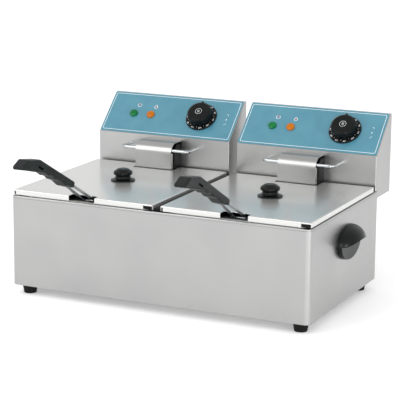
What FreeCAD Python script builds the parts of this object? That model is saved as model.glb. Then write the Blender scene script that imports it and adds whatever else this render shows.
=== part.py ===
import FreeCAD, Part
import math
import os
import re

import Sketcher

# Counter-top twin-tank deep fryer: one casing, and in each of its two bays an oil tank, a control
# head with its heating element, a lid and a frying basket.  Millimetres, +Z up, +Y to the back.
# The origin is on the ground, in the middle of the object's overall box.

doc = FreeCAD.newDocument("deep_fryer")
Vector = FreeCAD.Vector
Rotation = FreeCAD.Rotation

# ------------------------------------------------------------------ driving dimensions

driving = {
    # casing
    "casing_w": 560, "casing_d": 324, "casing_top": 177, "casing_round": 10, "back_round": 2,
    "front_y": -106, "metal": 1, "foot_high": 17, "foot_inset": 23,
    "foot_top_r": 14, "foot_low_r": 11, "foot_well_r": 6, "foot_well": 6,
    "deck_rim": 3.4, "seam": 0.3, "deck_fold": 1.6,
    "bay_x": 142.5, "hole_w": 244, "hole_front": 14, "hole_d": 288, "hole_round": 24,
    "screw_r": 2.5, "screw_head_r": 4.5, "screw_head": 3,
    # side handles
    "grip_y": 172, "grip_z": 120, "grip_out": 30, "grip_half": 49,
    "grip_arch": 8, "grip_wall": 4, "grip_plate": 8, "grip_screw_y": 28, "grip_screw_z": 13,
    # tanks
    "tank_w": 242, "tank_front": 15, "tank_d": 286, "tank_floor": 41, "tank_round": 22,
    "tank_low_round": 10, "tank_flange": 9,
    # lids
    "lid_w": 270, "lid_d": 306, "lid_front": 5, "lid_top": 187, "lid_gap": 1.3, "lid_fold": 1.8,
    "lid_slit": 2.4, "lid_slit_left": 5, "lid_slit_right": 17, "notch_w": 50, "notch_d": 17.5,
    "guard_notch_w": 80, "guard_notch_d": 38,
    "knob_flange_r": 22, "knob_waist_r": 13.2, "knob_cap_r": 17, "knob_high": 22,
    # control heads
    "head_w": 270, "head_front": 320, "head_back": 396.8, "head_low": 163.5, "head_step": 325.5,
    "panel_z": 241.4, "panel_tilt": 43.5, "panel_l": 95, "panel_sheet": 0.8, "panel_margin": 1,
    "head_edge": 1.5, "window_edge": 14, "cover_lap": 8,
    "lamp_x1": -78, "lamp_x2": -42.5, "lamp_up": 45, "lamp_cap_r": 7.5, "lamp_cap": 5,
    "lamp_body_r": 6, "lamp_body": 24,
    "dial_x": 62, "dial_up": 49, "dial_r": 30, "dial_thick": 3, "cap_r": 23.5, "cap_high": 20,
    "dial_gap": 0.6, "shaft_r": 3, "shaft_fit": 0.05, "shaft_out": 16,
    # element, its block and guard, hanger bar
    "guard_front": 277.5, "guard_w": 73, "guard_top": 235, "guard_low": 150, "guard_bend": 20,
    "guard_lip": 10.5, "block_front": 288.5, "block_w": 76, "block_low": 187.5, "block_top": 231,
    "hanger_w": 136, "hanger_y": 284, "hanger_z": 222, "hanger_r": 3, "hanger_bend": 9,
    "element_r": 4, "element_z": 58, "element_y": 293, "element_bend": 15,
    # baskets
    "basket_w": 208, "basket_front": 34, "basket_d": 232, "basket_low": 72, "basket_top": 172,
    "basket_round": 20, "basket_wall": 1.2, "basket_fold": 2.5, "rim_thick": 5, "wire_r": 2.5, "wire_x": 12.5,
    "wire_x_grip": 5, "handle_w": 22, "handle_edge": 3.5,
    # backs of the heads
    "gland_x": 100, "gland_z": 190, "gland_r": 8, "gland_out": 14.2, "gland_bore_r": 4,
    "reset_x": -70, "reset_z": 225, "reset_r": 3, "reset_out": 4,
}

dims = doc.addObject("Spreadsheet::Sheet", "dims")
for row, (alias, number) in enumerate(driving.items(), 1):
    dims.set(f"A{row}", alias)
    dims.set(f"B{row}", str(number))
    dims.setAlias(f"B{row}", alias)
doc.recompute()

# ------------------------------------------------------------------ small helpers

sub_parts = []


def formula(text):
    """The expression with the sheet's name in front of every alias."""
    return re.sub(r"[a-z]\w*", lambda m: f"dims.{m[0]}" if m[0] in driving else m[0], str(text))


def value(text):
    return float(dims.evalExpression(formula(text)))


def bind(item, **properties):
    for name, text in properties.items():
        item.setExpression(name, formula(text))
    return item


def place(item, x="0", y="0", z="0", tilt="0"):
    """Bind the placement: a spot, and a tilt in degrees about X."""
    item.Placement = FreeCAD.Placement(Vector(), Rotation(Vector(1, 0, 0), value(tilt)))
    for letter, text in zip("xyz", (x, y, z)):
        item.setExpression(f"Placement.Base.{letter}", formula(text))
    return item


def keep(item, label):
    """Name a finished sub-part and list it for export."""
    item.Label = label
    sub_parts.append(item)
    return item


def block(name, x, y, z, w, d, tall):
    box = bind(doc.addObject("Part::Box", name), Length=w, Width=d, Height=tall)
    return place(box, x, y, z)


def rod(name, radius, length, x="0", y="0", z="0", along="z"):
    turn = {"z": Rotation(), "y": Rotation(Vector(1, 0, 0), -90), "x": Rotation(Vector(0, 1, 0), 90)}
    cylinder = bind(doc.addObject("Part::Cylinder", name), Radius=radius, Height=length)
    place(cylinder, x, y, z)
    cylinder.Placement = FreeCAD.Placement(cylinder.Placement.Base, turn[along])
    for letter, text in zip("xyz", (x, y, z)):
        cylinder.setExpression(f"Placement.Base.{letter}", formula(text))
    return cylinder


def fuse(name, shapes):
    joined = doc.addObject("Part::MultiFuse", name)
    joined.Shapes = shapes
    joined.Refine = True
    return joined


def cut(name, base, tool):
    result = doc.addObject("Part::Cut", name)
    result.Base, result.Tool = base, tool
    return result


def common(name, base, tool):
    result = doc.addObject("Part::Common", name)
    result.Base, result.Tool = base, tool
    return result


def group(name, shapes):
    bundle = doc.addObject("Part::Compound", name)
    bundle.Links = shapes
    return bundle


def new_body(name, **spot):
    return place(doc.addObject("PartDesign::Body", name), **spot)


def sketch_on(body, plane, offset="0"):
    """An empty sketch on one of the body's own origin planes, moved along its normal."""
    sketch = body.newObject("Sketcher::SketchObject", f"{body.Name}_sketch")
    origin = [f for f in body.Origin.OriginFeatures if f.Role == f"{plane}_Plane"][0]
    sketch.AttachmentSupport = (origin, [""])
    sketch.MapMode = "FlatFace"
    sketch.setExpression("AttachmentOffset.Base.z", formula(offset))
    return sketch


def pin_point(sketch, geo, pos, x, y):
    """Hold a sketch point at coordinates given as formulas."""
    for kind, axis, text in (("DistanceX", -2, x), ("DistanceY", -1, y)):
        if abs(value(text)) < 1e-9:
            sketch.addConstraint(Sketcher.Constraint("PointOnObject", geo, pos, axis))
        else:
            number = sketch.addConstraint(Sketcher.Constraint(kind, geo, pos, value(text)))
            sketch.setExpression(f"Constraints[{number}]", formula(text))


def outline(sketch, corners):
    """A closed outline through corners (x, y) or (x, y, rounding), each value a formula."""
    spots = [Vector(value(c[0]), value(c[1]), 0) for c in corners]
    count = len(corners)
    trims = []
    for i, corner in enumerate(corners):
        here = spots[i]
        if len(corner) == 2:
            trims.append((here, here, None))
            continue
        back = (spots[i - 1] - here).normalize()
        ahead = (spots[(i + 1) % count] - here).normalize()
        half, radius = back.getAngle(ahead) / 2, value(corner[2])
        centre = here + (back + ahead).normalize() * (radius / math.sin(half))
        reach = radius / math.tan(half)
        trims.append((here + back * reach, here + ahead * reach, centre))
    lines = [sketch.addGeometry(Part.LineSegment(trims[i][1], trims[(i + 1) % count][0]))
             for i in range(count)]
    for i, corner in enumerate(corners):
        before, after = lines[i - 1], lines[i]
        start, end, centre = trims[i]
        if centre is None:
            sketch.addConstraint(Sketcher.Constraint("Coincident", before, 2, after, 1))
            pin_point(sketch, after, 1, corner[0], corner[1])
            continue
        radius = value(corner[2])
        a, b = ((p - centre) for p in (start, end))
        first, last = math.atan2(a.y, a.x), math.atan2(b.y, b.x)
        left_turn = a.x * b.y - a.y * b.x > 0
        circle = Part.Circle(centre, Vector(0, 0, 1), radius)
        span = (first, last) if left_turn else (last, first)
        arc = sketch.addGeometry(Part.ArcOfCircle(circle, *span))
        ends = (1, 2) if left_turn else (2, 1)
        sketch.addConstraint(Sketcher.Constraint("Tangent", before, 2, arc, ends[0]))
        sketch.addConstraint(Sketcher.Constraint("Tangent", arc, ends[1], after, 1))
        number = sketch.addConstraint(Sketcher.Constraint("Radius", arc, radius))
        sketch.setExpression(f"Constraints[{number}]", formula(corner[2]))
        mark = sketch.addGeometry(Part.Point(spots[i]), True)
        sketch.addConstraint(Sketcher.Constraint("PointOnObject", mark, 1, before))
        sketch.addConstraint(Sketcher.Constraint("PointOnObject", mark, 1, after))
        pin_point(sketch, mark, 1, corner[0], corner[1])


def circle(sketch, x, y, radius):
    ring = sketch.addGeometry(Part.Circle(Vector(value(x), value(y), 0), Vector(0, 0, 1), value(radius)))
    pin_point(sketch, ring, 3, x, y)
    number = sketch.addConstraint(Sketcher.Constraint("Radius", ring, value(radius)))
    sketch.setExpression(f"Constraints[{number}]", formula(radius))


def rectangle(sketch, x0, y0, x1, y1, rounding=None):
    corner = () if rounding is None else (rounding,)
    outline(sketch, [(x0, y0, *corner), (x1, y0, *corner), (x1, y1, *corner), (x0, y1, *corner)])


def pad(body, sketch, length, side="One side", reverse=False):
    feature = body.newObject("PartDesign::Pad", f"{body.Name}_pad")
    feature.Profile = sketch
    feature.SideType = side
    feature.Reversed = reverse
    return bind(feature, Length=length)


def pocket(body, sketch, length=None, side="One side", reverse=False):
    """A pocket of the given depth, or right through both ways."""
    feature = body.newObject("PartDesign::Pocket", f"{body.Name}_pocket")
    feature.Profile = sketch
    feature.Reversed = reverse
    if length is None:
        feature.Type = "ThroughAll"
        feature.SideType = "Symmetric"
        return feature
    feature.SideType = side
    return bind(feature, Length=length)


def revolve(body, sketch):
    feature = body.newObject("PartDesign::Revolution", f"{body.Name}_turned")
    feature.Profile = sketch
    feature.ReferenceAxis = (sketch, ["V_Axis"])
    feature.Angle = 360
    return feature


def round_edges(body, base, radius, test):
    """Fillet the edges of base that pass the test."""
    doc.recompute()
    names = [f"Edge{i}" for i, edge in enumerate(base.Shape.Edges, 1) if test(edge)]
    feature = body.newObject("PartDesign::Fillet", f"{body.Name}_fillet")
    feature.Base = (base, names)
    return bind(feature, Radius=radius)


def hollow(body, base, thickness, test):
    """Turn base into a sheet shell, open at the faces that pass the test."""
    doc.recompute()
    names = [f"Face{i}" for i, face in enumerate(base.Shape.Faces, 1) if test(face)]
    feature = body.newObject("PartDesign::Thickness", f"{body.Name}_shell")
    feature.Base = (base, names)
    feature.Mode = "Skin"
    feature.Reversed = True
    return bind(feature, Value=thickness)


def level_at(height):
    """Test for edges that lie flat at this height."""
    return lambda edge: abs(edge.BoundBox.ZMin - height) + abs(edge.BoundBox.ZMax - height) < 1e-5


def bent_wire(name, points, bend, radius):
    """Round wire along straight runs joined by tangent arcs, points in (x, y, z) numbers."""
    spots = [Vector(*p) for p in points]
    edges, last = [], spots[0]
    for before, here, after in zip(spots, spots[1:], spots[2:]):
        back, ahead = (before - here).normalize(), (after - here).normalize()
        half = back.getAngle(ahead) / 2
        reach = bend / math.tan(half)
        middle = (back + ahead).normalize()
        crown = here + middle * (bend / math.sin(half) - bend)
        start, end = here + back * reach, here + ahead * reach
        edges += [Part.makeLine(last, start), Part.Arc(start, crown, end).toShape()]
        last = end
    edges.append(Part.makeLine(last, spots[-1]))
    spine = Part.Wire(edges)
    ring = Part.Wire(Part.makeCircle(radius, spots[0], spots[1] - spots[0]))
    item = doc.addObject("Part::Feature", name)
    item.Shape = spine.makePipeShell([ring], True, False)
    return item


# ------------------------------------------------------------------ casing

def casing_outline(sketch, inset):
    rounding = [f"casing_round - {inset}"] * 2 + [f"back_round - {inset}"] * 2
    xs = [f"-casing_w/2 + {inset}", f"casing_w/2 - {inset}"]
    ys = [f"front_y + {inset}", f"front_y + casing_d - {inset}"]
    spots = [(xs[0], ys[0]), (xs[1], ys[0]), (xs[1], ys[1]), (xs[0], ys[1])]
    outline(sketch, [(x, y, r) for (x, y), r in zip(spots, rounding)])


def make_outer_casing():
    # front, sides and back wrapped from one sheet, with the side handles' screw holes
    body = new_body("outer_casing")
    sketch = sketch_on(body, "XY", "foot_high")
    casing_outline(sketch, "0")
    wall = pad(body, sketch, "casing_top - deck_rim - seam - foot_high")
    flat = hollow(body, wall, "metal", lambda f: abs(f.normalAt(0, 0).z) > 0.99)
    doc.recompute()
    holes = sketch_on(body, "YZ")
    for way in "+-":
        circle(holes, f"front_y + grip_y {way} grip_screw_y", "grip_z - grip_screw_z", "screw_r")
    pocket(body, holes)
    return keep(body, "outer_casing")


def make_top_deck():
    # folded top with one opening for each tank
    body = new_body("top_deck")
    sketch = sketch_on(body, "XY", "casing_top - deck_rim")
    casing_outline(sketch, "0")
    plate = pad(body, sketch, "deck_rim")
    folded = round_edges(body, plate, "deck_fold", level_at(value("casing_top")))
    hollow(body, folded, "metal", lambda f: f.normalAt(0, 0).z < -0.99)
    doc.recompute()
    for way in "+-":
        holes = sketch_on(body, "XY", "casing_top")
        rectangle(holes, f"{way}bay_x - hole_w/2", "front_y + hole_front",
                  f"{way}bay_x + hole_w/2", "front_y + hole_front + hole_d", "hole_round")
        pocket(body, holes)
        doc.recompute()
    return keep(body, "top_deck")


def foot_spots():
    for across in ("-casing_w/2 + foot_inset", "casing_w/2 - foot_inset"):
        for back in ("front_y + foot_inset", "front_y + casing_d - foot_inset"):
            yield across, back


def make_base_plate():
    body = new_body("base_plate")
    sketch = sketch_on(body, "XY", "foot_high")
    casing_outline(sketch, "metal")
    for across, back in foot_spots():
        circle(sketch, across, back, "screw_r")
    pad(body, sketch, "metal")
    return keep(body, "base_plate")


def make_feet():
    feet, screws = [], []
    for number, (across, back) in enumerate(foot_spots()):
        cone = bind(doc.addObject("Part::Cone", f"foot_cone{number}"), Radius1="foot_low_r",
                    Radius2="foot_top_r", Height="foot_high")
        place(cone, across, back)
        well = rod(f"foot_well{number}", "foot_well_r", "foot_well", across, back)
        bore = rod(f"foot_bore{number}", "screw_r", "foot_high", across, back)
        feet.append(cut(f"foot{number}", cone, fuse(f"foot_holes{number}", [well, bore])))
        head = rod(f"foot_screw_head{number}", "screw_head_r", "screw_head", across, back,
                   "foot_well - screw_head")
        shank = rod(f"foot_screw_shank{number}", "screw_r", "foot_high", across, back, "foot_well")
        screws.append(fuse(f"foot_screw{number}", [head, shank]))
    keep(group("rubber_feet", feet), "rubber_feet")
    keep(group("foot_screws", screws), "foot_screws")


def make_centre_rail():
    # channel that stiffens the deck between the two tanks
    size = ("-17", "front_y + 16", "casing_top - metal - 14", "34", "casing_d - 34", "14")
    inner = ("-17 + metal", "front_y + 16", "casing_top - metal - 14", "34 - 2*metal", "casing_d - 34",
             "14 - metal")
    keep(cut("centre_rail", block("rail_bar", *size), block("rail_gap", *inner)), "centre_rail")


def spheroid(name, out, half):
    """Egg shape, round about Y, with its poles turned away from the quarter that is kept."""
    egg = bind(doc.addObject("Part::Ellipsoid", name), Radius1=out, Radius2=out, Radius3=half)
    egg.Angle1, egg.Angle2, egg.Angle3 = -90, 90, 360
    egg.Placement = FreeCAD.Placement(Vector(), Rotation(Vector(0, 1, 0), 135))
    return egg


def make_side_handle(side):
    # moulded cup handle: an oval plate on the wall, whose upper half bulges out as a hood
    way = "-" if side == "left" else ""
    reach, far = "2*grip_half", "4*grip_half"
    egg = spheroid(f"grip_egg_{side}", "grip_out", "grip_half")
    front = block(f"grip_front_{side}", "0", f"-{reach}", f"-{reach}", reach, far, far)
    half_egg = common(f"grip_half_{side}", egg, front)
    below = block(f"grip_below_{side}", "grip_plate", f"-{reach}", f"-{reach}", reach, far, reach)
    core = spheroid(f"grip_core_{side}", "grip_out - grip_wall", "grip_half - grip_wall")
    room = block(f"grip_room_{side}", "grip_plate", f"-{reach}", "-1", reach, far, reach)
    hand_room = common(f"grip_hollow_{side}", core, room)
    bores = [rod(f"grip_bore_{side}_{mark}", "screw_r", "grip_plate - metal - 1", "0",
                 f"{sign}grip_screw_y", "-grip_screw_z", along="x") for mark, sign in (("a", ""), ("b", "-"))]
    arch_r = "((grip_half - 7)^2 + grip_arch^2)/(2*grip_arch)"
    arch = rod(f"grip_arch_{side}", arch_r, reach, "grip_plate", "0", f"grip_arch - {arch_r}", along="x")
    hood = cut(f"grip_hood_{side}", half_egg, fuse(f"grip_under_{side}", [below, arch]))
    shell = cut(f"side_handle_{side}", hood, fuse(f"grip_waste_{side}", [hand_room, *bores]))
    place(shell, f"{way}casing_w/2", "front_y + grip_y", "grip_z")
    if side == "left":
        shell.Placement = FreeCAD.Placement(shell.Placement.Base, Rotation(Vector(0, 0, 1), 180))
    return keep(shell, f"side_handle_{side}")


def make_side_handle_screws():
    screws = []
    for side, sign in (("left", "-"), ("right", "")):
        head_x = "-casing_w/2 + metal" if side == "left" else "casing_w/2 - metal - screw_head"
        shank_x = "-casing_w/2 - grip_plate + metal + 1" if side == "left" else "casing_w/2 - metal"
        for mark, way in (("a", "+"), ("b", "-")):
            spot = (f"front_y + grip_y {way} grip_screw_y", "grip_z - grip_screw_z")
            head = rod(f"grip_screw_head_{side}_{mark}", "screw_head_r", "screw_head", head_x, *spot,
                       along="x")
            shank = rod(f"grip_screw_shank_{side}_{mark}", "screw_r", "grip_plate - 1", shank_x, *spot,
                        along="x")
            screws.append(fuse(f"grip_screw_{side}_{mark}", [head, shank]))
    keep(group("side_handle_screws", screws), "side_handle_screws")


# ------------------------------------------------------------------ one bay: tank and lid

def make_tank(side, bay):
    # deep-drawn bowl that hangs from its flange on the deck
    body = new_body(f"oil_tank_{side}", x=bay)
    sketch = sketch_on(body, "XY", "tank_floor")
    rectangle(sketch, "-tank_w/2", "front_y + tank_front", "tank_w/2", "front_y + tank_front + tank_d",
              "tank_round")
    bowl = pad(body, sketch, "casing_top + metal - tank_floor")
    drawn = round_edges(body, bowl, "tank_low_round", level_at(value("tank_floor")))
    hollow(body, drawn, "metal", lambda f: f.normalAt(0, 0).z > 0.99)
    doc.recompute()
    flange = sketch_on(body, "XY", "casing_top")
    rectangle(flange, "-tank_w/2 - tank_flange", "front_y + tank_front - tank_flange + 1",
              "tank_w/2 + tank_flange", "front_y + tank_front + tank_d + 3", "tank_round + 4")
    rectangle(flange, "-tank_w/2 + metal", "front_y + tank_front + metal", "tank_w/2 - metal",
              "front_y + tank_front + tank_d - metal", "tank_round - metal")
    pad(body, flange, "metal")
    return keep(body, f"oil_tank_{side}")


def make_lid(side, bay):
    # shallow folded pan: front notch for the basket's handle, rear notch around the element guard
    body = new_body(f"lid_pan_{side}", x=bay)
    low, far = "casing_top + metal + lid_gap - 1", "front_y + lid_front + lid_d"
    sketch = sketch_on(body, "XY", low)
    rectangle(sketch, "-lid_w/2", "front_y + lid_front", "lid_w/2", far, "1.5")
    sheet = pad(body, sketch, f"lid_top - ({low})")
    folded = round_edges(body, sheet, "lid_fold", level_at(value("lid_top")))
    hollow(body, folded, "metal", lambda f: f.normalAt(0, 0).z < -0.99)
    doc.recompute()
    notches = sketch_on(body, "XY", "lid_top")
    rectangle(notches, "-notch_w/2", "front_y", "notch_w/2", "front_y + lid_front + notch_d", "2")
    rectangle(notches, "-guard_notch_w/2", f"{far} - guard_notch_d", "guard_notch_w/2", f"{far} + 10", "2")
    circle(notches, "0", "front_y + lid_front + lid_d/2", "screw_r")
    pocket(body, notches)
    doc.recompute()
    slits = sketch_on(body, "XY", "lid_top - lid_fold - 0.6")
    for back in ("front_y + lid_front", f"{far} - lid_slit"):
        rectangle(slits, "-lid_w/2", back, "-lid_w/2 + lid_slit_left", f"{back} + lid_slit")
        rectangle(slits, "lid_w/2 - lid_slit_right", back, "lid_w/2", f"{back} + lid_slit")
    pocket(body, slits, "lid_top")
    keep(body, f"lid_pan_{side}")


def make_lid_knob(side, bay):
    # bakelite mushroom knob with a wide flange
    body = new_body(f"lid_knob_{side}", x=bay, y="front_y + lid_front + lid_d/2", z="lid_top")
    sketch = sketch_on(body, "XZ")
    outline(sketch, [
        ("screw_r", "0"), ("knob_flange_r", "0", "0.5"), ("knob_flange_r", "2", "0.8"),
        ("knob_waist_r + 1.5", "4.4", "2"), ("knob_waist_r", "9.5", "2"),
        ("knob_cap_r", "12", "1.5"), ("knob_cap_r", "16.5", "3"), ("9", "knob_high", "8"),
        ("0", "knob_high"), ("0", "13"), ("screw_r", "13"),
    ])
    revolve(body, sketch)
    keep(body, f"lid_knob_{side}")

    spot = (bay, "front_y + lid_front + lid_d/2")
    head = rod(f"knob_screw_head_{side}", "screw_head_r", "screw_head", *spot, "lid_top - metal - screw_head")
    shank = rod(f"knob_screw_shank_{side}", "screw_r", "12 + metal", *spot, "lid_top - metal")
    keep(fuse(f"lid_knob_screw_{side}", [head, shank]), f"lid_knob_screw_{side}")


# ------------------------------------------------------------------ one bay: control head

def panel_spot(across, up, bay, out="0"):
    """Placement values of a spot on the sloping panel's outer face, or out from it."""
    return {"x": f"{bay} + {across}",
            "y": f"front_y + head_front + ({up})*cos(panel_tilt) - ({out})*sin(panel_tilt)",
            "z": f"panel_z + ({up})*sin(panel_tilt) + ({out})*cos(panel_tilt)", "tilt": "panel_tilt"}


def make_head_housing(side, bay):
    # folded box whose front slopes back, open at the rear inside a flange
    body = new_body(f"head_housing_{side}", x=bay)
    sketch = sketch_on(body, "YZ")
    drop = "(panel_sheet + 0.02)/cos(panel_tilt)"
    front, back = "front_y + head_front", "front_y + head_back"
    top = "panel_z + panel_l*sin(panel_tilt)"
    outline(sketch, [
        (front, "casing_top + 0.4"), (front, f"panel_z - {drop}"),
        (f"{front} + panel_l*cos(panel_tilt)", f"{top} - {drop}"), (back, f"{top} - {drop}"),
        (back, "head_low"), ("front_y + head_step", "head_low"), ("front_y + head_step", "casing_top + 0.4"),
    ])
    bulk = pad(body, sketch, "head_w", side="Symmetric")
    rear = value(back)
    side_x = value("head_w/2")
    eased = round_edges(body, bulk, "head_edge", lambda e: abs(abs(e.CenterOfMass.x) - side_x) < 1e-5
                        and e.BoundBox.YMax < rear - 1e-3 and e.CenterOfMass.z > value("casing_top + 1"))
    hollow(body, eased, "metal", lambda f: f.normalAt(0, 0).y > 0.99)
    doc.recompute()
    flange = sketch_on(body, "XZ", f"-({back})")
    rectangle(flange, "-head_w/2", "head_low", "head_w/2", f"{top} - {drop}")
    rectangle(flange, "-head_w/2 + window_edge", "head_low + window_edge", "head_w/2 - window_edge",
              f"{top} - window_edge", "4")
    pad(body, flange, "metal")
    doc.recompute()
    holes = []
    for number, (across, up, radius) in enumerate((
            ("lamp_x1", "lamp_up", "lamp_body_r + 0.1"), ("lamp_x2", "lamp_up", "lamp_body_r + 0.1"),
            ("dial_x", "dial_up", "shaft_r + 2"))):
        hole = rod(f"housing_hole_{side}{number}", radius, "8")
        holes.append(place(hole, **panel_spot(across, up, bay, "-6")))
    body.Label = f"head_shell_{side}"
    keep(cut(f"head_{side}", body, fuse(f"housing_holes_{side}", holes)), f"head_housing_{side}")


def make_head_cover(side, bay):
    # flat rear cover with four screws, a cable gland and the overheat reset
    body = new_body(f"head_back_cover_{side}", x=bay)
    sketch = sketch_on(body, "XZ", "-(front_y + head_back)")
    top = "panel_z + panel_l*sin(panel_tilt)"
    edge = "(window_edge - cover_lap)"
    rectangle(sketch, f"-head_w/2 + {edge}", f"head_low + {edge}", f"head_w/2 - {edge}",
              f"{top} - {edge}", "5")
    circle(sketch, "gland_x", "gland_z", "gland_r")
    circle(sketch, "reset_x", "reset_z", "reset_r + 0.4")
    screws = []
    for number, (sx, sz) in enumerate(((-1, 0), (1, 0), (-1, 1), (1, 1))):
        across = f"{sx}*(head_w/2 - window_edge + 3.5)"
        up = f"{top} - window_edge + 3.5" if sz else "head_low + window_edge - 3.5"
        circle(sketch, across, up, "screw_r - 1")
        head = rod(f"cover_screw_head_{side}{number}", "screw_head_r - 1.3", "1.6", f"{bay} + {across}",
                   "front_y + head_back + metal", up, along="y")
        shank = rod(f"cover_screw_shank_{side}{number}", "screw_r - 1", "metal", f"{bay} + {across}",
                    "front_y + head_back", up, along="y")
        screws.append(fuse(f"cover_screw_{side}{number}", [head, shank]))
    pad(body, sketch, "metal", reverse=True)
    keep(body, f"head_back_cover_{side}")
    keep(group(f"cover_screws_{side}", screws), f"cover_screws_{side}")


def make_control_panel(side, bay):
    # printed fascia on the slope
    body = new_body(f"control_panel_{side}", **panel_spot("0", "0", bay))
    sketch = sketch_on(body, "XY", "-panel_sheet")
    rectangle(sketch, "-head_w/2 + panel_margin", "panel_margin", "head_w/2 - panel_margin",
              "panel_l - panel_margin", "4")
    circle(sketch, "lamp_x1", "lamp_up", "lamp_body_r + 0.1")
    circle(sketch, "lamp_x2", "lamp_up", "lamp_body_r + 0.1")
    circle(sketch, "dial_x", "dial_up", "shaft_r + 2")
    pad(body, sketch, "panel_sheet")
    keep(body, f"control_panel_{side}")


def make_lamp(name, across, side, bay):
    # neon pilot lamp: domed lens on a round body that passes through the panel
    body = new_body(f"{name}_{side}", **panel_spot(across, "lamp_up", bay))
    sketch = sketch_on(body, "XZ")
    outline(sketch, [
        ("0", "-lamp_body"), ("lamp_body_r", "-lamp_body"), ("lamp_body_r", "0"), ("lamp_cap_r", "0"),
        ("lamp_cap_r", "lamp_cap - 1.5", "1"), ("lamp_cap_r - 3", "lamp_cap", "2"), ("0", "lamp_cap"),
    ])
    revolve(body, sketch)
    keep(body, f"{name}_{side}")


def make_thermostat(side, bay):
    # switch box behind the panel, threaded neck through it, and the knob's shaft
    case = block(f"thermostat_box_{side}", "-18", "-20", "-29", "36", "36", "24")
    neck = rod(f"thermostat_neck_{side}", "shaft_r + 1.8", "5.2", z="-5.2")
    shaft = rod(f"thermostat_shaft_{side}", "shaft_r", "shaft_out + 1", z="-1")
    body = fuse(f"thermostat_{side}", [case, neck, shaft])
    place(body, **panel_spot("dial_x", "dial_up", bay))
    keep(body, f"thermostat_{side}")


def make_dial(side, bay):
    # thermostat knob: flat numbered skirt and a raised grip with a bevelled top
    body = new_body(f"thermostat_knob_{side}", **panel_spot("dial_x", "dial_up", bay))
    sketch = sketch_on(body, "XZ")
    outline(sketch, [
        ("shaft_r + shaft_fit", "dial_gap"), ("dial_r", "dial_gap", "0.5"),
        ("dial_r", "dial_gap + dial_thick - 1", "0.4"), ("dial_r - 1.5", "dial_gap + dial_thick"),
        ("cap_r", "dial_gap + dial_thick"), ("cap_r - 0.8", "cap_high - 2.2", "1"),
        ("cap_r - 4", "cap_high", "1.5"), ("0", "cap_high"), ("0", "shaft_out + 0.5"),
        ("shaft_r + shaft_fit", "shaft_out + 0.5"),
    ])
    revolve(body, sketch)
    keep(body, f"thermostat_knob_{side}")


def make_back_fittings(side, bay):
    # inside the back cover: cable gland, overheat limit with its reset button, terminal block
    rear = "front_y + head_back"
    spot = (f"{bay} + gland_x", rear, "gland_z")
    flange = rod(f"gland_flange_{side}", "gland_r + 3", "5", spot[0], f"{rear} + metal", spot[2], along="y")
    neck = rod(f"gland_neck_{side}", "gland_r - 0.1", "14", spot[0], f"{rear} - 13", spot[2], along="y")
    dome = bind(doc.addObject("Part::Cone", f"gland_dome_{side}"), Radius1="gland_r + 2", Radius2="gland_r - 2",
                Height="gland_out - 5")
    place(dome, spot[0], f"{rear} + metal + 5", spot[2], tilt="-90")
    bore = rod(f"gland_bore_{side}", "gland_bore_r", "gland_out + 30", spot[0], f"{rear} - 20", spot[2],
               along="y")
    gland = cut(f"cable_gland_{side}", fuse(f"gland_body_{side}", [flange, neck, dome]), bore)
    keep(gland, f"cable_gland_{side}")

    place_of_reset = (f"{bay} + reset_x", "reset_z")
    case = rod(f"limit_case_{side}", "11", "18", place_of_reset[0], f"{rear} - 18", place_of_reset[1],
               along="y")
    well = rod(f"limit_well_{side}", "reset_r + 0.4", "10", place_of_reset[0], f"{rear} - 9.5",
               place_of_reset[1], along="y")
    keep(cut(f"limit_thermostat_{side}", case, well), f"limit_thermostat_{side}")
    button = rod(f"reset_stem_{side}", "reset_r", "reset_out + metal + 7", place_of_reset[0], f"{rear} - 7",
                 place_of_reset[1], along="y")
    keep(button, f"reset_button_{side}")

    strip = block(f"terminal_bar_{side}", f"{bay} + gland_x - 62", f"{rear} - 30",
                  "head_low + metal", "44", "20",
                  "14")
    wells = [rod(f"terminal_well_{side}{i}", "2.2", "8", f"{bay} + gland_x - 62 + {5.5 + 11 * i}",
                 f"{rear} - 20", "head_low + metal + 8") for i in range(4)]
    keep(cut(f"terminal_block_{side}", strip, fuse(f"terminal_wells_{side}", wells)), f"terminal_block_{side}")


def make_hanger(side, bay):
    # wire bar on the head's face, on which a lifted basket hangs to drain
    x, half = value(bay), value("hanger_w/2")
    face, out, up = value("front_y + head_front"), value("front_y + hanger_y"), value("hanger_z")
    route = [(x - half, face, up), (x - half, out, up), (x + half, out, up), (x + half, face, up)]
    keep(bent_wire(f"basket_hanger_{side}", route, value("hanger_bend"), value("hanger_r")),
         f"basket_hanger_{side}")


def make_guard(side, bay):
    # bent sheet in front of the element's legs, with short side lips
    body = new_body(f"element_guard_{side}", x=bay)
    sketch = sketch_on(body, "YZ")
    near, wall = "front_y + guard_front", "front_y + head_front"
    outline(sketch, [
        (near, "guard_low"), (near, "guard_top", "guard_bend"), (wall, "guard_top"),
        (wall, "guard_top - metal"), (f"{near} + metal", "guard_top - metal", "guard_bend - metal"),
        (f"{near} + metal", "guard_low"),
    ])
    pad(body, sketch, "guard_w", side="Symmetric")
    doc.recompute()
    lips = sketch_on(body, "XY", "guard_low")
    for x0 in ("-guard_w/2", "guard_w/2 - metal"):
        rectangle(lips, x0, f"{near} + metal/2", f"{x0} + metal", f"{near} + guard_lip")
    pad(body, lips, "hanger_z - 5 - guard_low")
    keep(body, f"element_guard_{side}")


def make_element_block(side, bay):
    # moulded block that carries the element's legs, bolted to the head's face
    body = new_body(f"element_block_{side}", x=bay)
    sketch = sketch_on(body, "YZ")
    near, wall = "front_y + block_front", "front_y + head_front"
    outline(sketch, [(near, "block_low"), (near, "block_top", "14"), (wall, "block_top"), (wall, "block_low")])
    pad(body, sketch, "block_w", side="Symmetric")
    keep(body, f"element_block_{side}")


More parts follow.
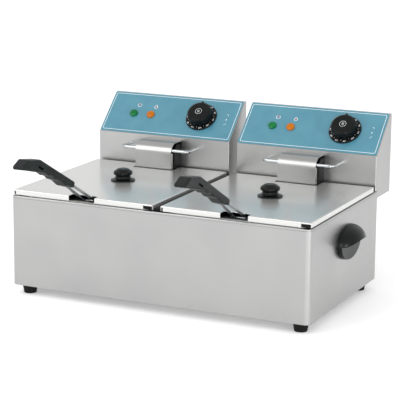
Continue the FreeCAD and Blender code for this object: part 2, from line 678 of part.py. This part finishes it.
def make_element(side, bay):
    # tubular heater: two legs down the back of the tank and two hairpins over its floor
    x, low, back = value(bay), value("element_z"), value("front_y + element_y")
    front, turn, top = value("front_y + 48"), value("front_y + 258"), value("block_low")
    leg, inner, outer = 22, 34, 92
    half = [(leg, back, top), (leg, back, low), (outer, back, low), (outer, front, low), (inner, front, low),
            (inner, turn, low)]
    route = [(x + a, b, c) for a, b, c in half] + [(x - a, b, c) for a, b, c in reversed(half)]
    keep(bent_wire(f"heating_element_{side}", route, value("element_bend"), value("element_r")),
         f"heating_element_{side}")
    # sensor bulb with its capillary, clear of the legs
    bulb = rod(f"bulb_tube_{side}", "3", "90", bay, "front_y + element_y", "element_z + 16")
    capillary = rod(f"bulb_capillary_{side}", "1", "block_low - element_z - 105", bay, "front_y + element_y",
                    "element_z + 105")
    tip = bind(doc.addObject("Part::Cone", f"bulb_tip_{side}"), Radius1="3", Radius2="1", Height="1")
    place(tip, bay, "front_y + element_y", "element_z + 105 + 1 - 2")
    keep(fuse(f"sensor_bulb_{side}", [bulb, capillary, tip]), f"sensor_bulb_{side}")


# ------------------------------------------------------------------ one bay: basket

def make_basket(side, bay):
    # mesh basket as a thin-walled tray, with a wire rim
    body = new_body(f"basket_mesh_{side}", x=bay)
    sketch = sketch_on(body, "XY", "basket_low")
    near, far = "front_y + basket_front", "front_y + basket_front + basket_d"
    rectangle(sketch, "-basket_w/2", near, "basket_w/2", far, "basket_round")
    tray = pad(body, sketch, "basket_top - basket_low")
    round_edges(body, tray, "basket_fold", level_at(value("basket_low")))
    inside = sketch_on(body, "XY", "basket_top")
    rectangle(inside, "-basket_w/2 + basket_wall", f"{near} + basket_wall", "basket_w/2 - basket_wall",
              f"{far} - basket_wall", "basket_round - basket_wall")
    pocket(body, inside, "basket_top - basket_low - basket_wall")
    keep(body, f"basket_mesh_{side}")

    body = new_body(f"basket_rim_{side}", x=bay)
    sketch = sketch_on(body, "XY", "basket_top")
    rectangle(sketch, "-basket_w/2", near, "basket_w/2", far, "basket_round")
    rectangle(sketch, "-basket_w/2 + rim_thick", f"{near} + rim_thick", "basket_w/2 - rim_thick",
              f"{far} - rim_thick", "basket_round - rim_thick")
    ring = pad(body, sketch, "rim_thick")
    round_edges(body, ring, "2.3", lambda e: e.BoundBox.ZLength < 1e-6)
    keep(body, f"basket_rim_{side}")


def handle_route(bay):
    """The two handle wires as one bent wire, from the grip down the basket's front and back up."""
    x, y = value(bay), value("front_y")
    inside, spread = value("wire_x_grip"), value("wire_x")
    front = y + value("basket_front - wire_r")
    side_points = [(inside, y - 72, 235), (spread, front, 177), (spread, front, 116)]
    return [(x + a, b, c) for a, b, c in side_points] + [(x - a, b, c) for a, b, c in reversed(side_points)]


def make_basket_handle(side, bay):
    wires = bent_wire(f"basket_bracket_{side}", handle_route(bay), 9, value("wire_r"))
    keep(wires, f"basket_bracket_{side}")

    # plastic grip: blunt nose, bend, finger steps below, slot near the bend
    body = new_body(f"grip_body_{side}", x=bay)
    sketch = sketch_on(body, "YZ")
    profile = [(-200, 272, 2), (-200, 277.5, 3), (-182, 286, 7), (-145, 280, 16), (-34, 222, 3),
               (-37, 212, 3), (-64, 220.5, 8), (-80, 231.5, 6), (-97, 238, 6), (-106, 244.5, 5),
               (-119, 248, 5), (-130, 254.5, 5), (-190, 270, 5)]
    outline(sketch, [(f"front_y + {y}", str(z), str(r)) for y, z, r in profile])
    bulk = pad(body, sketch, "handle_w", side="Symmetric")
    edge_x = value("handle_w/2")
    round_edges(body, bulk, "handle_edge", lambda e: abs(abs(e.CenterOfMass.x) - edge_x) < 1e-5)
    slot = sketch_on(body, "YZ")
    outline(slot, [(f"front_y + {y}", str(z), "1.5") for y, z in ((-156, 269), (-154, 272), (-138, 264),
                                                                 (-140, 261))])
    pocket(body, slot)
    doc.recompute()
    keep(cut(f"basket_grip_{side}", body, wires), f"basket_grip_{side}")


# ------------------------------------------------------------------ build, check and export

make_outer_casing()
make_top_deck()
make_base_plate()
make_feet()
make_centre_rail()
make_side_handle("left")
make_side_handle("right")
make_side_handle_screws()
for side, bay in (("left", "-bay_x"), ("right", "bay_x")):
    make_tank(side, bay)
    make_lid(side, bay)
    make_lid_knob(side, bay)
    make_head_housing(side, bay)
    make_head_cover(side, bay)
    make_control_panel(side, bay)
    make_lamp("lamp_green", "lamp_x1", side, bay)
    make_lamp("lamp_orange", "lamp_x2", side, bay)
    make_thermostat(side, bay)
    make_dial(side, bay)
    make_back_fittings(side, bay)
    make_hanger(side, bay)
    make_guard(side, bay)
    make_element_block(side, bay)
    make_element(side, bay)
    make_basket(side, bay)
    make_basket_handle(side, bay)
doc.recompute()

for item in doc.Objects:
    if {"Invalid", "Error"} & set(item.State):
        raise RuntimeError(f"{item.Name} is {item.State}")
    if item.TypeId == "PartDesign::Pocket" and item.Shape.Volume >= item.BaseFeature.Shape.Volume - 0.01:
        raise RuntimeError(f"{item.Name} cuts nothing")
for item in sub_parts:
    if item.Shape.isNull() or not item.Shape.isValid() or not item.Shape.Solids:
        raise RuntimeError(f"{item.Label} has no valid solid")

os.makedirs("parts", exist_ok=True)
for item in sub_parts:
    item.Shape.exportStep(f"parts/{item.Label}.step")
    print(f"{item.Label:24s} solids {len(item.Shape.Solids)}  volume {item.Shape.Volume / 1000:9.2f} cm3")
print(len(sub_parts), "sub-parts")
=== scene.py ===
import math

import bpy
from mathutils import Matrix, Vector


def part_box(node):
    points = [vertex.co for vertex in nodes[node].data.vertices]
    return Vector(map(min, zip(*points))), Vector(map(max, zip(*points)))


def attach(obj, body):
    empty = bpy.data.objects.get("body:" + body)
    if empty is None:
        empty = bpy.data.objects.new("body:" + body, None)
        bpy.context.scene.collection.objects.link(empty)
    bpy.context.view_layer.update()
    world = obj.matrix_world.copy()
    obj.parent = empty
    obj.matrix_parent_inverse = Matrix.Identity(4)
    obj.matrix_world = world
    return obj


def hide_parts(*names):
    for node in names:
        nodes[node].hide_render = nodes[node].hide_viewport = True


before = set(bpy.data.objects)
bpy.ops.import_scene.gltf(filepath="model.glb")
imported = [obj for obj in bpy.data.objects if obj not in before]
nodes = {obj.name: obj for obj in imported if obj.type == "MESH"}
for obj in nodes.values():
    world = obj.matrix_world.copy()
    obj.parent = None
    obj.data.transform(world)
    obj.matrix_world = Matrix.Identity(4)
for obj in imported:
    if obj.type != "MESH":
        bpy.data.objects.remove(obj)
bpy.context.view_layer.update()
bays = {"left": -0.1425, "right": 0.1425}
tilt = math.radians(43.5)  # slope of the control panels
frontY = -0.106  # the casing's front face
print("frame loaded", len(nodes), "nodes")


def mm(*values):
    scaled = tuple(v / 1000 for v in values)
    return scaled[0] if len(scaled) == 1 else scaled


# materials

def colour(hexText):
    # sRGB hex to linear
    parts = [int(hexText[i:i + 2], 16) / 255 for i in (1, 3, 5)]
    return [p / 12.92 if p <= 0.04045 else ((p + 0.055) / 1.055) ** 2.4 for p in parts] + [1.0]


def addNode(tree, kind, settings=None, links=None):
    # settings: names of sockets or properties; links: socket name to another node's output
    node = tree.nodes.new(kind)
    for name, value in (settings or {}).items():
        if name in node.inputs:
            node.inputs[name].default_value = value
        else:
            setattr(node, name, value)
    for name, output in (links or {}).items():
        tree.links.new(output, node.inputs[name])
    return node


def startMaterial(name, settings):
    material = bpy.data.materials.new(name)
    material.use_nodes = True
    shader = material.node_tree.nodes["Principled BSDF"]
    for key, value in settings.items():
        shader.inputs[key].default_value = value
    return material, material.node_tree, shader


def variedColour(tree, factor, dark, light):
    ramp = addNode(tree, "ShaderNodeValToRGB", links={"Fac": factor})
    ramp.color_ramp.elements[0].position = 0.3
    ramp.color_ramp.elements[1].position = 0.7
    ramp.color_ramp.elements[0].color = colour(dark)
    ramp.color_ramp.elements[1].color = colour(light)
    return ramp.outputs["Color"]


def brushedSteel(name, dark, light, roughness, spread, bump, lines, extra=None):
    # rolled stainless sheet: fine lines along its length, and faint cloudy patches from handling
    material, tree, shader = startMaterial(name, {"Metallic": 1.0, "Roughness": roughness, **(extra or {})})
    place = addNode(tree, "ShaderNodeTexCoord")
    mapping = addNode(tree, "ShaderNodeMapping", {"Scale": lines}, {"Vector": place.outputs["Object"]})
    grain = addNode(tree, "ShaderNodeTexNoise", {"Scale": 1.0, "Detail": 3.0},
                    {"Vector": mapping.outputs["Vector"]})
    clouds = addNode(tree, "ShaderNodeTexNoise", {"Scale": 9.0, "Detail": 2.0},
                     {"Vector": place.outputs["Object"]})
    tree.links.new(variedColour(tree, clouds.outputs["Fac"], dark, light), shader.inputs["Base Color"])
    rough = addNode(tree, "ShaderNodeMapRange", {"From Min": 0.3, "From Max": 0.7,
                    "To Min": roughness - spread, "To Max": roughness + spread},
                    {"Value": grain.outputs["Fac"]})
    tree.links.new(rough.outputs["Result"], shader.inputs["Roughness"])
    relief = addNode(tree, "ShaderNodeBump", {"Strength": bump, "Distance": 0.0002},
                     {"Height": grain.outputs["Fac"]})
    tree.links.new(relief.outputs["Normal"], shader.inputs["Normal"])
    return material


def mouldedPlastic(name, dark, light, roughness, grit, bump, extra=None):
    # moulded plastic: an even fine grain from the mould, a little polish and wear in its sheen
    material, tree, shader = startMaterial(name, {"Roughness": roughness, "IOR": 1.5, **(extra or {})})
    place = addNode(tree, "ShaderNodeTexCoord")
    grain = addNode(tree, "ShaderNodeTexNoise", {"Scale": grit, "Detail": 2.0},
                    {"Vector": place.outputs["Object"]})
    wear = addNode(tree, "ShaderNodeTexNoise", {"Scale": 35.0, "Detail": 3.0},
                   {"Vector": place.outputs["Object"]})
    tree.links.new(variedColour(tree, wear.outputs["Fac"], dark, light), shader.inputs["Base Color"])
    rough = addNode(tree, "ShaderNodeMapRange", {"From Min": 0.3, "From Max": 0.7,
                    "To Min": roughness - 0.06, "To Max": roughness + 0.08},
                    {"Value": wear.outputs["Fac"]})
    tree.links.new(rough.outputs["Result"], shader.inputs["Roughness"])
    relief = addNode(tree, "ShaderNodeBump", {"Strength": bump, "Distance": 0.0003},
                     {"Height": grain.outputs["Fac"]})
    tree.links.new(relief.outputs["Normal"], shader.inputs["Normal"])
    return material


# 304 stainless sheet, satin rolled: soft blurred reflections, lines about 1 mm apart so they show
casingSteel = brushedSteel("satinStainlessSheet", "#a9a9a9", "#afafae", 0.32, 0.04, 0.1, (6, 6, 900))
# satin-polished lid sheet: soft reflections of knobs and panels, lines front to back too fine to stand out;
# a little of its light is scattered by the rubbed surface, so it isn't fully metallic
lidSteel = brushedSteel("polishedStainlessLid", "#cfcfcd", "#d3d3d1", 0.26, 0.008, 0.004, (500, 5, 5),
                        {"Metallic": 0.72, "Coat Weight": 0.3, "Coat Roughness": 0.1})
# drawn tank: duller, lines round the walls
tankSteel = brushedSteel("drawnStainlessTank", "#a9a9a6", "#bcbcb8", 0.38, 0.06, 0.15, (8, 8, 700))
guardSteel = brushedSteel("foldedStainlessGuard", "#a4a4a3", "#acacab", 0.3, 0.03, 0.03, (6, 6, 900))
# zinc-plated screws and the darkened sheath of the heater
screwSteel = brushedSteel("zincPlatedScrew", "#a2a29f", "#b8b8b2", 0.3, 0.08, 0.1, (300, 300, 300))
heaterSteel = brushedSteel("heatTintedSheath", "#5b5348", "#77706a", 0.42, 0.1, 0.2, (120, 120, 120))
# chrome plate over wire: sharp, with tiny plating unevenness
chromeWire = brushedSteel("chromePlatedWire", "#b4b8ba", "#c4c8ca", 0.16, 0.03, 0.04, (200, 200, 200))
copperBulb = brushedSteel("drawnCopper", "#a9623c", "#c4805a", 0.3, 0.06, 0.1, (400, 400, 60))
softSheen = {"Specular IOR Level": 0.18}  # keeps the black mouldings deep under a white surround
# phenolic knobs: nearly black, soft gloss
knobPlastic = mouldedPlastic("blackPhenolicKnob", "#070808", "#0c0e0e", 0.24, 900, 0.05, softSheen)
handlePlastic = mouldedPlastic("blackNylonHandle", "#0a0d0d", "#101414", 0.28, 700, 0.08, softSheen)
# glass-filled nylon grips: grey-green black, mat with a fine pebble
gripPlastic = mouldedPlastic("glassFilledNylonGrip", "#121716", "#1a2120", 0.4, 800, 0.2, softSheen)
darkPlastic = mouldedPlastic("blackFitting", "#030303", "#060707", 0.34, 600, 0.12,
                             {"Specular IOR Level": 0.08})
# black rubber of the feet; the same black also paints shade as the deck strip and the lid corner pads
footRubberAndShade = mouldedPlastic("blackFootRubberAndShade", "#060707", "#0b0c0c", 0.6, 500, 0.3, softSheen)
terminalCeramic = mouldedPlastic("steatiteTerminal", "#d8d3c4", "#e6e1d4", 0.5, 400, 0.2)
resetRed = mouldedPlastic("redPolyamideButton", "#a3160f", "#b92018", 0.35, 600, 0.1)
# polyester-printed panel: light blue ink under a satin clear layer
panelBlue = mouldedPlastic("printedPanelFilm", "#437e91", "#498597", 0.36, 1500, 0.05,
                           {"Coat Weight": 0.35, "Coat Roughness": 0.18})
whiteInk = mouldedPlastic("whitePanelInk", "#eef3f4", "#f6f9fa", 0.4, 900, 0.04)
redInk = mouldedPlastic("redPanelInk", "#c3261f", "#d0332a", 0.4, 900, 0.04)
# polycarbonate lenses: clear-coated, a little light in them
greenLens = mouldedPlastic("greenPolycarbonateLens", "#01572a", "#057038", 0.16, 400, 0.05,
                           {"Emission Color": colour("#08984a"), "Emission Strength": 0.06,
                            "Specular IOR Level": 0.2, "Coat Weight": 0.1, "Coat Roughness": 0.06})
orangeLens = mouldedPlastic("orangePolycarbonateLens", "#a35200", "#b86a02", 0.16, 400, 0.05,
                            {"Emission Color": colour("#e07a08"), "Emission Strength": 0.04,
                             "Specular IOR Level": 0.2, "Coat Weight": 0.1, "Coat Roughness": 0.06})

finishes = {
    "outer_casing": casingSteel, "top_deck": casingSteel, "base_plate": casingSteel,
    "rubber_feet": footRubberAndShade, "foot_screws": screwSteel, "side_handle_left": handlePlastic,
    "side_handle_right": handlePlastic, "side_handle_screws": screwSteel, "centre_rail": casingSteel,
    "oil_tank": tankSteel, "lid_pan": lidSteel, "lid_knob": knobPlastic, "lid_knob_screw": screwSteel,
    "basket_rim": chromeWire, "basket_bracket": chromeWire, "basket_grip": gripPlastic,
    "basket_mesh": chromeWire, "head_housing": casingSteel, "head_back_cover": casingSteel,
    "control_panel": panelBlue, "thermostat": screwSteel, "thermostat_knob": knobPlastic,
    "lamp_green": greenLens, "lamp_orange": orangeLens, "limit_thermostat": darkPlastic,
    "reset_button": resetRed, "terminal_block": terminalCeramic, "cable_gland": darkPlastic,
    "heating_element": heaterSteel, "element_block": darkPlastic, "element_guard": guardSteel,
    "basket_hanger": chromeWire, "sensor_bulb": copperBulb, "cover_screws": screwSteel,
}
for name, node in nodes.items():
    kind = name if name in finishes else name.rsplit("_", 1)[0]
    node.data.materials.clear()
    node.data.materials.append(finishes[kind])
print("materials set")


# small tools for new pieces

def deselectAll():
    if bpy.context.object and bpy.context.object.mode != "OBJECT":
        bpy.ops.object.mode_set(mode="OBJECT")
    bpy.ops.object.select_all(action="DESELECT")


def nameActive(name, material):
    piece = bpy.context.object
    piece.name = name
    piece.data.name = name
    piece.data.materials.clear()
    piece.data.materials.append(material)
    return piece


def bake(piece):
    # keep the place in the mesh, with the object at the origin
    deselectAll()
    piece.select_set(True)
    bpy.context.view_layer.objects.active = piece
    bpy.ops.object.transform_apply(location=True, rotation=True, scale=True)
    return piece


def joinPieces(pieces, name, material):
    deselectAll()
    for piece in pieces:
        piece.select_set(True)
    bpy.context.view_layer.objects.active = pieces[0]
    if len(pieces) > 1:
        bpy.ops.object.join()
    return nameActive(name, material)


def finishPiece(piece, body, slot, *replaced):
    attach(piece, body)
    if replaced:
        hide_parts(*replaced)
    return piece


def panelSpot(bay, across, up, out=0.0):
    # a point on, or out from, the sloping panel, all in metres
    along = Vector((0, math.cos(tilt), math.sin(tilt)))
    normal = Vector((0, -math.sin(tilt), math.cos(tilt)))
    return Vector((bay + across, frontY + 0.32, 0.2414)) + along * up + normal * out


# what is printed on the panels

panelPrint = {"halfWidth": 0.1305, "low": 0.0045, "high": 0.0905, "corner": 0.003, "line": 0.0007,
              "lift": 0.00006, "iconUp": 0.0655, "iconSize": 0.0038,
              "powerAt": -0.073, "flameAt": -0.038, "indexUp": 0.049,
              # each stroke of the flame: across, up, length, turn in degrees
              "flameStrokes": ((-0.0019, 0.0007, 0.0058, 62), (0.0019, 0.0007, 0.0058, 118)),
              # each index curve: height on the panel, start and end in degrees
              "indexCurves": ((0.0585, -20, 110), (0.04, -110, 20))}


def thinFrame(bay, low, high, left, right, corner, line, name, material):
    # rounded line frame lying on the panel
    centre = panelSpot(bay, (left + right) / 2, (low + high) / 2, panelPrint["lift"])
    deselectAll()
    bpy.ops.mesh.primitive_plane_add(size=1, location=centre, rotation=(tilt, 0, 0))
    piece = nameActive(name, material)
    piece.scale = (right - left, high - low, 1)
    bake(piece)
    bpy.ops.object.mode_set(mode="EDIT")
    bpy.ops.mesh.select_all(action="SELECT")
    bpy.ops.mesh.bevel(offset=corner, segments=6, affect="VERTICES")
    bpy.ops.mesh.select_all(action="SELECT")
    bpy.ops.mesh.inset(thickness=line, depth=0)
    bpy.ops.mesh.delete(type="FACE")
    bpy.ops.object.mode_set(mode="OBJECT")
    return piece


def flatDisc(spot, radius, name, material, sides=32):
    deselectAll()
    bpy.ops.mesh.primitive_circle_add(vertices=sides, radius=radius, fill_type="NGON", location=spot,
                                      rotation=(tilt, 0, 0))
    return bake(nameActive(name, material))


def flatBar(spot, length, width, turn, name, material):
    # a short stroke with round ends, turned in the panel's plane
    deselectAll()
    bpy.ops.mesh.primitive_plane_add(size=1, location=spot)
    piece = nameActive(name, material)
    piece.scale = (length, width, 1)
    piece.rotation_euler = (Matrix.Rotation(tilt, 3, "X") @ Matrix.Rotation(turn, 3, "Z")).to_euler()
    bake(piece)
    bpy.ops.object.mode_set(mode="EDIT")
    bpy.ops.mesh.select_all(action="SELECT")
    bpy.ops.mesh.bevel(offset=width * 0.45, segments=3, affect="VERTICES")
    bpy.ops.object.mode_set(mode="OBJECT")
    return piece


def flatArc(bay, across, up, radius, width, start, end, name, material, steps=20):
    # part of a ring, swept round in the panel's plane
    pieces = []
    for i in range(steps):
        angle = start + (end - start) * (i + 0.5) / steps
        spot = panelSpot(bay, across + radius * math.cos(angle), up + radius * math.sin(angle),
                         panelPrint["lift"])
        length = abs(end - start) / steps * radius * 1.35
        pieces.append(flatBar(spot, length, width, angle + math.pi / 2, name, material))
    return joinPieces(pieces, name, material)


for side, bay in bays.items():
    p = panelPrint
    border = thinFrame(bay, p["low"], p["high"], -p["halfWidth"], p["halfWidth"], p["corner"], p["line"],
                       f"panelBorder.{side}", whiteInk)
    size, up, lift = p["iconSize"], p["iconUp"], p["lift"]
    powerArc = flatArc(bay, p["powerAt"], up, size, p["line"], math.radians(-240), math.radians(60),
                       "powerArc", whiteInk)
    flame = [flatBar(panelSpot(bay, p["flameAt"] + dx, up + dy, lift), length, p["line"], math.radians(turn),
                     "flameStroke", whiteInk)
             for dx, dy, length, turn in p["flameStrokes"]]
    flame.append(flatArc(bay, p["flameAt"], up - 0.0018, 0.0031, p["line"], math.pi, math.pi * 2, "flameBowl",
                         whiteInk))
    # index marks right of the dial: two short curves with a stroke between them
    index = [flatArc(bay, 0.1115, markUp, 0.0026, 0.0005, math.radians(a), math.radians(b), "indexArc",
                     whiteInk, 6) for markUp, a, b in p["indexCurves"]]
    index.append(flatBar(panelSpot(bay, 0.1125, p["indexUp"], lift), 0.0034, 0.0013, math.pi / 2, "indexMark",
                         whiteInk))
    white = joinPieces([border, powerArc, *flame, *index], f"panelPrint.{side}", whiteInk)
    finishPiece(white, f"head_{side}", "panel_blue")
    stroke = flatBar(panelSpot(bay, p["powerAt"], up + 0.0022, lift), 0.0052, 0.001, math.pi / 2,
                     "powerStroke", redInk)
    heart = flatDisc(panelSpot(bay, p["flameAt"], up - 0.0008, lift), 0.0014, "flameHeart", redInk, 16)
    finishPiece(joinPieces([stroke, heart], f"panelRedMarks.{side}", redInk), f"head_{side}", "panel_blue")
print("panel prints made")

# thermostat dials: numbers, dots, pointer ridge and a plain mark on the cap

dial = {"across": 0.062, "up": 0.049, "skirtOut": 0.0037, "numberRadius": 0.0267, "numberSize": 0.0043,
        "dotRadius": 0.0246, "dotSize": 0.00045, "capOut": 0.02006, "ringRadius": 0.006, "ringLine": 0.0005,
        "barApart": 0.0012, "barLength": 0.006, "barLine": 0.0006,
        "labels": ("0", "60", "90", "110", "130", "150", "170", "180", "190", "200"),
        "firstAngle": 90, "step": -33, "ridgeUp": 0.0222, "ridgeOut": 0.0112,
        "ridgeSize": (0.0042, 0.006, 0.0145)}


def dialText(bay, label, angle):
    across = dial["across"] + dial["numberRadius"] * math.cos(angle)
    up = dial["up"] + dial["numberRadius"] * math.sin(angle)
    deselectAll()
    bpy.ops.object.text_add(location=(0, 0, 0))
    text = bpy.context.object
    text.data.body = label
    text.data.size = dial["numberSize"]
    text.data.align_x = "CENTER"
    text.data.align_y = "CENTER"
    text.data.resolution_u = 3
    bpy.ops.object.convert(target="MESH")
    text = bpy.context.object
    turn = Matrix.Rotation(tilt, 4, "X") @ Matrix.Rotation(angle - math.pi / 2, 4, "Z")
    text.matrix_world = Matrix.Translation(panelSpot(bay, across, up, dial["skirtOut"])) @ turn
    return bake(text)


for side, bay in bays.items():
    marks = []
    for i, label in enumerate(dial["labels"]):
        angle = math.radians(dial["firstAngle"] + dial["step"] * i)
        marks.append(dialText(bay, label, angle))
        half = angle + math.radians(dial["step"] / 2)
        spot = panelSpot(bay, dial["across"] + dial["dotRadius"] * math.cos(half),
                         dial["up"] + dial["dotRadius"] * math.sin(half), dial["skirtOut"])
        marks.append(flatDisc(spot, dial["dotSize"], "dialDot", whiteInk, 10))
    # plain ring and bar on the cap
    for i in range(18):
        angle = math.radians(20 * i)
        spot = panelSpot(bay, dial["across"] + dial["ringRadius"] * math.cos(angle),
                         dial["up"] + dial["ringRadius"] * math.sin(angle), dial["capOut"])
        marks.append(flatBar(spot, 0.0023, dial["ringLine"], angle + math.pi / 2, "capRing", whiteInk))
    for shift in (-dial["barApart"], dial["barApart"]):
        spot = panelSpot(bay, dial["across"] + shift, dial["up"], dial["capOut"])
        marks.append(flatBar(spot, dial["barLength"], dial["barLine"], math.pi / 2, "capBar", whiteInk))
    numbers = joinPieces(marks, f"dialMarks.{side}", whiteInk)
    finishPiece(numbers, f"dial_{side}", "knob_plastic")
    # pointer ridge on the cap's edge
    deselectAll()
    bpy.ops.mesh.primitive_cube_add(size=1, location=(0, 0, 0))
    ridge = nameActive(f"dialPointer.{side}", knobPlastic)
    turn = Matrix.Rotation(tilt, 4, "X")
    place = Matrix.Translation(panelSpot(bay, dial["across"], dial["up"] + dial["ridgeUp"], dial["ridgeOut"]))
    ridge.matrix_world = place @ turn @ Matrix.Diagonal((*dial["ridgeSize"], 1))
    bake(ridge)
    bpy.ops.object.mode_set(mode="EDIT")
    bpy.ops.mesh.select_all(action="SELECT")
    bpy.ops.mesh.bevel(offset=0.0012, segments=3, affect="EDGES")
    bpy.ops.object.mode_set(mode="OBJECT")
    bpy.ops.object.shade_smooth_by_angle(angle=math.radians(40))
    finishPiece(ridge, f"dial_{side}", "knob_plastic")
print("dials marked")

# woven baskets: crossing wires every 8 mm, rounded at the corners

basket = {"width": 0.206, "depth": 0.230, "low": 0.0735, "top": 0.172, "front": 0.035, "pitch": 0.0082,
          "wire": 0.0014, "corner": 0.019}

deselectAll()
middle = (bays["left"], frontY + basket["front"] + basket["depth"] / 2, (basket["low"] + basket["top"]) / 2)
bpy.ops.mesh.primitive_cube_add(size=1, location=middle)
weave = nameActive("basketWeave.left", chromeWire)
weave.scale = (basket["width"], basket["depth"], basket["top"] - basket["low"])
bake(weave)
bpy.ops.object.mode_set(mode="EDIT")
bpy.ops.mesh.select_mode(type="EDGE")
bpy.ops.mesh.select_all(action="DESELECT")
bpy.ops.object.mode_set(mode="OBJECT")
for edge in weave.data.edges:
    ends = [weave.data.vertices[i].co for i in edge.vertices]
    edge.select = abs(ends[0].z - ends[1].z) > 0.01
bpy.ops.object.mode_set(mode="EDIT")
bpy.ops.mesh.bevel(offset=basket["corner"], segments=4, affect="EDGES")
bpy.ops.mesh.select_mode(type="FACE")
bpy.ops.mesh.select_all(action="DESELECT")
bpy.ops.object.mode_set(mode="OBJECT")
for face in weave.data.polygons:
    face.select = face.normal.z > 0.9
bpy.ops.object.mode_set(mode="EDIT")
bpy.ops.mesh.delete(type="FACE")
spans = ((0, basket["width"]), (1, basket["depth"]), (2, basket["top"] - basket["low"]))
for axis, span in spans:
    count = int(span / basket["pitch"])
    normal = [0, 0, 0]
    normal[axis] = 1
    for i in range(1, count):
        spot = list(middle)
        spot[axis] += -span / 2 + span * i / count
        bpy.ops.mesh.select_all(action="SELECT")
        bpy.ops.mesh.bisect(plane_co=spot, plane_no=normal)
bpy.ops.object.mode_set(mode="OBJECT")
mesher = weave.modifiers.new("weave", "WIREFRAME")
mesher.thickness = basket["wire"]
mesher.use_even_offset = False
bpy.ops.object.modifier_apply(modifier=mesher.name)
other = weave.copy()
other.data = weave.data.copy()
other.name = other.data.name = "basketWeave.right"
bpy.context.scene.collection.objects.link(other)
other.location.x = bays["right"] - bays["left"]
bake(other)
finishPiece(weave, "basket_left", "basket_wire", "basket_mesh_left")
finishPiece(other, "basket_right", "basket_wire", "basket_mesh_right")
print("baskets woven", len(weave.data.polygons), "faces")

# black strip on the deck between the two lids: painted shade standing in for the shadow gap there

gapShade = {"width": 0.0115, "height": 0.0042, "front": 0.0075, "back": 0.3165, "deck": 0.177}

deselectAll()
bpy.ops.mesh.primitive_cube_add(size=1, location=(0, frontY + (gapShade["front"] + gapShade["back"]) / 2,
                                                  gapShade["deck"] + gapShade["height"] / 2 + 0.0001))
gapShadeStrip = nameActive("deckGapShade", footRubberAndShade)
gapShadeStrip.scale = (gapShade["width"], gapShade["back"] - gapShade["front"], gapShade["height"])
bake(gapShadeStrip)
bpy.ops.object.mode_set(mode="EDIT")
bpy.ops.mesh.select_all(action="SELECT")
bpy.ops.mesh.bevel(offset=0.0012, segments=3, affect="EDGES")
bpy.ops.object.mode_set(mode="OBJECT")
bpy.ops.object.shade_smooth_by_angle(angle=math.radians(40))
finishPiece(gapShadeStrip, "casing", "foot_rubber")

# black pads inside the lids' open corners: painted shade for the shadow seen into those corners

shadePads = {"thick": 0.0022, "height": 0.0058, "low": 0.1787, "inset": 0.0013, "leftWidth": 0.0045,
        "rightWidth": 0.0165, "edge": 0.0004}


def cornerShadePad(middle, width, depth, height):
    deselectAll()
    bpy.ops.mesh.primitive_cube_add(size=1, location=middle)
    shadePad = nameActive("lidShadePad", footRubberAndShade)
    shadePad.scale = (width, depth, height)
    bake(shadePad)
    bpy.ops.object.mode_set(mode="EDIT")
    bpy.ops.mesh.select_all(action="SELECT")
    bpy.ops.mesh.bevel(offset=shadePads["edge"], segments=2, affect="EDGES")
    bpy.ops.object.mode_set(mode="OBJECT")
    return shadePad


for side, bay in bays.items():
    low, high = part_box(f"lid_pan_{side}")
    made = []
    for y in (low.y + shadePads["inset"] + shadePads["thick"] / 2, high.y - shadePads["inset"] - shadePads["thick"] / 2):
        z = shadePads["low"] + shadePads["height"] / 2
        for edge, width, way in ((low.x, shadePads["leftWidth"], 1), (high.x, shadePads["rightWidth"], -1)):
            x = edge + way * (shadePads["inset"] + width / 2)
            made.append(cornerShadePad((x, y, z), width, shadePads["thick"], shadePads["height"]))
    finishPiece(joinPieces(made, f"lidShadePads.{side}", footRubberAndShade), f"lid_{side}", "foot_rubber")
print("shade strip and shade pads made")

# floor, light and camera

# each light: name, place, size in metres, watts
studio = {"floor": 30.0, "glow": 0.2, "world": 0.92,
          "lights": (("keyLight", (-1.3, -1.9, 1.9), 1.8, 26.0),
                     ("fillLight", (1.5, -3.1, 0.75), 1.1, 30.0),
                     ("edgeLight", (2.9, -1.4, 0.3), 0.45, 22.0))}
deselectAll()
bpy.ops.mesh.primitive_plane_add(size=studio["floor"], location=(0, 0, -0.0005))
floor = bpy.context.object
floor.name = "studioFloor"
floorPaint, floorTree, floorShader = startMaterial("paleStudioFloor", {"Roughness": 0.9})
floorShader.inputs["Base Color"].default_value = colour("#fbfbfb")
floorShader.inputs["Specular IOR Level"].default_value = 0.1
floorShader.inputs["Emission Color"].default_value = colour("#ffffff")
floorShader.inputs["Emission Strength"].default_value = studio["glow"]
floor.data.materials.append(floorPaint)

world = bpy.data.worlds.new("softStudio")
bpy.context.scene.world = world
world.use_nodes = True
world.node_tree.nodes["Background"].inputs["Color"].default_value = colour("#ffffff")
world.node_tree.nodes["Background"].inputs["Strength"].default_value = studio["world"]

for name, spot, size, power in studio["lights"]:
    deselectAll()
    bpy.ops.object.light_add(type="AREA", location=spot)
    lamp = bpy.context.object
    lamp.name = name
    lamp.data.size = size
    lamp.data.energy = power
    lamp.rotation_euler = (Vector((0, 0, 0.1)) - Vector(spot)).to_track_quat("-Z", "Y").to_euler()

viewpoint = {"spot": mm(1197.1, -2500.1, 806.2), "turn": 24.95, "down": 12.8, "roll": 0.5, "lens": 148.1}
deselectAll()
bpy.ops.object.camera_add(location=viewpoint["spot"])
camera = bpy.context.object
camera.rotation_euler = (Matrix.Rotation(math.radians(viewpoint["turn"]), 3, "Z")
                         @ Matrix.Rotation(math.radians(90 - viewpoint["down"]), 3, "X")
                         @ Matrix.Rotation(math.radians(viewpoint["roll"]), 3, "Z")).to_euler()
camera.data.lens = viewpoint["lens"]
camera.data.sensor_width = 36
camera.data.clip_end = 100
bpy.context.scene.camera = camera
bpy.context.scene.view_settings.view_transform = "Standard"
print("studio set")

deselectAll()
